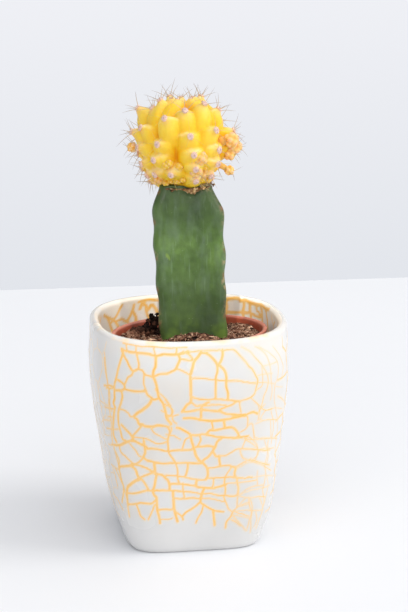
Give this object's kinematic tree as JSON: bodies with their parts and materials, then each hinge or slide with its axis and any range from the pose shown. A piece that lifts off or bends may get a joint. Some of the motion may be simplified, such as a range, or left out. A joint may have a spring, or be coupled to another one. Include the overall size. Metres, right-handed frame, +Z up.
{
  "type": "potted moon cactus",
  "caption": "Yellow grafted moon cactus on a green rootstock, in a plastic nursery pot inside a square crackle-glazed planter.",
  "frame": {"origin": "middle of the planter's underside, at table level", "axes": "+Z up along the plant, -Y towards the planter's front face"},
  "size_m": [0.0704, 0.0704, 0.1649],
  "materials": {
    "glaze": "gloss",
    "terracotta_plastic": "satin",
    "peat_soil": "matt",
    "green_stem": "satin",
    "yellow_cactus": "satin"
  },
  "bodies": {
    "root": {"planter": "glaze", "nursery_pot": "terracotta_plastic", "soil": "peat_soil", "rootstock": "green_stem", "scion": "yellow_cactus"}
  },
  "joints": []
}
